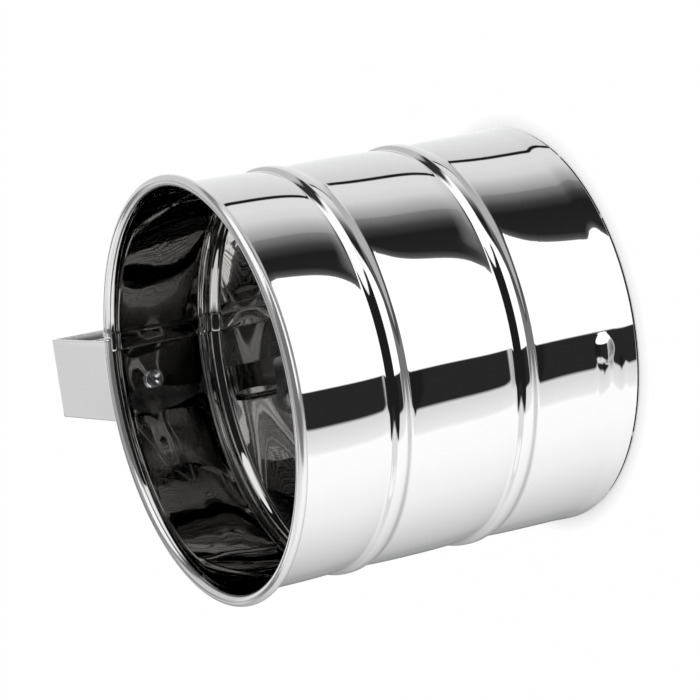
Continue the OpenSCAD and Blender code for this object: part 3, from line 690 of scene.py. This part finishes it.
def under_shade():
    """A sheet of painted shade on the floor under the drum, near black to mirrored rays, with gaps of painted light
    that glow for what the steel mirrors, a painted shadow line at its edge, and plain grey to the eye.
    """
    verts, faces, finish, seen = [], [], [], {}

    def corner(i, j):
        if (i, j) not in seen:
            seen[i, j] = len(verts)
            away = math.hypot(i, j)
            out = SHADE_R / away if away > SHADE_REACH - 0.6 else 1
            verts.append((i * out * MM, j * out * MM, 0))
        return seen[i, j]

    for i in range(-50, 50):
        for j in range(-50, 50):
            x, y = i + 0.5, j + 0.5
            away = math.hypot(x, y)
            if away >= SHADE_REACH:
                continue
            wander = SHADE_WANDER * noise.noise(Vector((x / 9, y / 9, 2)))
            lit = [k + 2 for k, ((cx, cy), (w, h), level) in enumerate(SHADE_GAPS)
                   if math.hypot((x - cx) / w, (y - cy) / h) + wander < 1 and away < SHADE_REACH - SHADE_DIM]
            finish.append(0 if away > SHADE_REACH - SHADE_EDGE else lit[0] if lit else 1)
            faces.append((corner(i, j), corner(i + 1, j), corner(i + 1, j + 1), corner(i, j + 1)))
    disc = add_stage("under_shade", verts, faces, SHADE_Z)
    # painted shade: near-black cells stand in for the drum's shade; painted light: the glowing gaps; the edge cells
    # paint a shadow line that the camera sees
    for name, level in (("painted_shadow_edge", 0), ("under_shade", 0), *[("painted_light_gap", gap[2]) for gap in SHADE_GAPS]):
        made = bpy.data.materials.new(name)
        tree = blank_tree(made)
        if level:
            made.cycles.emission_sampling = "NONE"
            face = node(tree, "ShaderNodeEmission", Strength=level).outputs[0]
        else:
            face = node(tree, "ShaderNodeBsdfDiffuse", Color=(0.01, 0.01, 0.01, 1)).outputs[0]
        if name != "painted_shadow_edge":
            eye = node(tree, "ShaderNodeLightPath").outputs["Is Camera Ray"]
            plain = node(tree, "ShaderNodeBsdfDiffuse", Color=(0.5, 0.5, 0.5, 1)).outputs[0]
            face = mix_shaders(tree, eye, face, plain)
        one_sided(tree, face)
        disc.data.materials.append(made)
    disc.data.polygons.foreach_set("material_index", finish)


under_shade()


def soft_box():
    """The lamp whose white fills most of the drum's side, with a soft edge."""
    verts, glow, faces = [], [], []
    low, high = BOX_HEIGHTS
    heights = [low, low + 4, *np.linspace(low + 30, high - 30, 18), high - 4, high]
    for h in heights:
        far = float(np.interp(h, *zip(*BOX_FAR)))
        full = [BOX_NEAR + 0.7, *np.linspace(BOX_NEAR + 5, far - 5, 14), far - 0.5]
        columns = [(BOX_NEAR, 0.0), *[(turn, 1.0) for turn in full], *[(far + past, share) for past, share in BOX_FADE]]
        for turn, share in columns:
            a = math.radians(turn)
            verts.append((BOX_AWAY * math.cos(a) * MM, BOX_AWAY * math.sin(a) * MM, h * MM))
            glow.append(0.0 if h in BOX_HEIGHTS else share)
    n = len(columns)
    for j in range(len(heights) - 1):
        for i in range(n - 1):
            faces.append((j * n + i, j * n + i + 1, (j + 1) * n + i + 1, (j + 1) * n + i))
    box = add_stage("soft_box", verts, faces)
    shade = box.data.color_attributes.new("glow", "FLOAT_COLOR", "POINT")
    for k, value in enumerate(glow):
        shade.data[k].color = (value, value, value, 1)
    box.visible_camera = box.visible_diffuse = box.visible_transmission = box.visible_shadow = False
    made = bpy.data.materials.new("soft_box")
    made.cycles.emission_sampling = "NONE"
    tree = blank_tree(made)
    share = node(tree, "ShaderNodeAttribute", attribute_name="glow").outputs["Fac"]
    clear = node(tree, "ShaderNodeBsdfTransparent").outputs[0]
    lit = node(tree, "ShaderNodeEmission", Color=(*TINT, 1), Strength=BOX_LEVEL).outputs[0]
    node(tree, "ShaderNodeOutputMaterial", {"Surface": mix_shaders(tree, share, clear, lit)})
    box.data.materials.append(made)


soft_box()


def world():
    """White all round for plain light, and for mirrored rays the room with its cards."""
    made = bpy.data.worlds.new("studio")
    bpy.context.scene.world = made
    tree = blank_tree(made)
    way = node(tree, "ShaderNodeSeparateXYZ", {0: node(tree, "ShaderNodeTexCoord").outputs["Generated"]}).outputs
    turn = compute(tree, "Math", "DIVIDE", compute(tree, "Math", "ARCTAN2", way["Y"], way["X"]), 2 * math.pi)
    turn = compute(tree, "Math", "FRACT", turn)
    height = compute(tree, "Math", "MULTIPLY", compute(tree, "Math", "ARCSINE", way["Z"]), 180 / math.pi)
    around = compute(tree, "Math", "MULTIPLY", turn, 360.0)
    place = node(tree, "ShaderNodeCombineXYZ", {"X": around, "Y": height}).outputs[0]
    ramp = node(tree, "ShaderNodeValToRGB", {0: turn})
    stops = ramp.color_ramp.elements
    for k, (degrees, bright) in enumerate(ROOM):
        stop = stops[k] if k < 2 else stops.new(degrees / 360)
        stop.position = degrees / 360
        stop.color = (bright, bright, bright, 1)
    light = ramp.outputs["Color"]
    for (left, right), (low, high), corner, soft, bright in CARDS:
        middle = ((left + right) / 2, (low + high) / 2, 0)
        half = ((right - left) / 2 - corner, (high - low) / 2 - corner, 0)
        away = compute(tree, "VectorMath", "ABSOLUTE", compute(tree, "VectorMath", "SUBTRACT", place, middle))
        past = compute(tree, "VectorMath", "SUBTRACT", away, half)
        past = compute(tree, "VectorMath", "LENGTH", compute(tree, "VectorMath", "MAXIMUM", past, (0, 0, 0)))
        share = value_range(tree, past, corner - soft, corner + soft, 1.0, 0.0)
        card = node(tree, "ShaderNodeMix", {0: share, 2: light}, data_type="FLOAT")
        card.inputs[3].default_value = bright
        light = card.outputs[0]
    tone = node(tree, "ShaderNodeVectorMath", {"Scale": light}, operation="SCALE")
    tone.inputs[0].default_value = TINT
    studio = node(tree, "ShaderNodeEmission", {"Color": tone.outputs[0]}, Strength=STUDIO_LEVEL).outputs[0]
    plain = node(tree, "ShaderNodeBackground", Color=(1, 1, 1, 1), Strength=1.0).outputs[0]
    mirrored = node(tree, "ShaderNodeLightPath").outputs["Is Glossy Ray"]
    node(tree, "ShaderNodeOutputWorld", {"Surface": mix_shaders(tree, mirrored, plain, studio)})


world()


def soft_lamp(name, place, size, power):
    """A round lamp that looks at the drum's middle and isn't mirrored."""
    data = bpy.data.lights.new(name, "AREA")
    data.shape = "DISK"
    data.size = size
    data.energy = power
    lamp = bpy.data.objects.new(name, data)
    lamp.location = place
    lamp.rotation_mode = "QUATERNION"
    lamp.rotation_quaternion = (Vector((0, 0, 0.05)) - Vector(place)).to_track_quat("-Z", "Y")
    lamp.visible_glossy = False
    lamp.visible_camera = False
    bpy.context.scene.collection.objects.link(lamp)


soft_lamp("key", (-0.5, -0.6, 0.9), 0.6, 3.0)


def camera():
    """The photograph's view, from a fit to the rim, the base, the beads and the handle's corners."""
    fit_turn = Matrix.Rotation(math.radians(-6.8), 4, "Z")
    right = Vector((-0.480417, 0.095011, -0.871879))
    down = Vector((-0.132543, 0.974832, 0.179264))
    ahead = Vector((0.866967, 0.201683, -0.455733))
    place = Vector((-657.998, -155.669, 396.942)) * MM
    focal_pixels, image_pixels, sensor = 3089.788, 700, 36
    data = bpy.data.cameras.new("camera")
    data.sensor_width = sensor
    data.lens = focal_pixels * sensor / image_pixels
    data.clip_start, data.clip_end = 0.01, 100
    cam = bpy.data.objects.new("camera", data)
    turned = Matrix((right, -down, -ahead)).transposed().to_4x4()
    cam.matrix_world = fit_turn @ Matrix.Translation(place) @ turned
    bpy.context.scene.collection.objects.link(cam)
    bpy.context.scene.camera = cam


camera()
bpy.context.scene.view_settings.view_transform = "Standard"
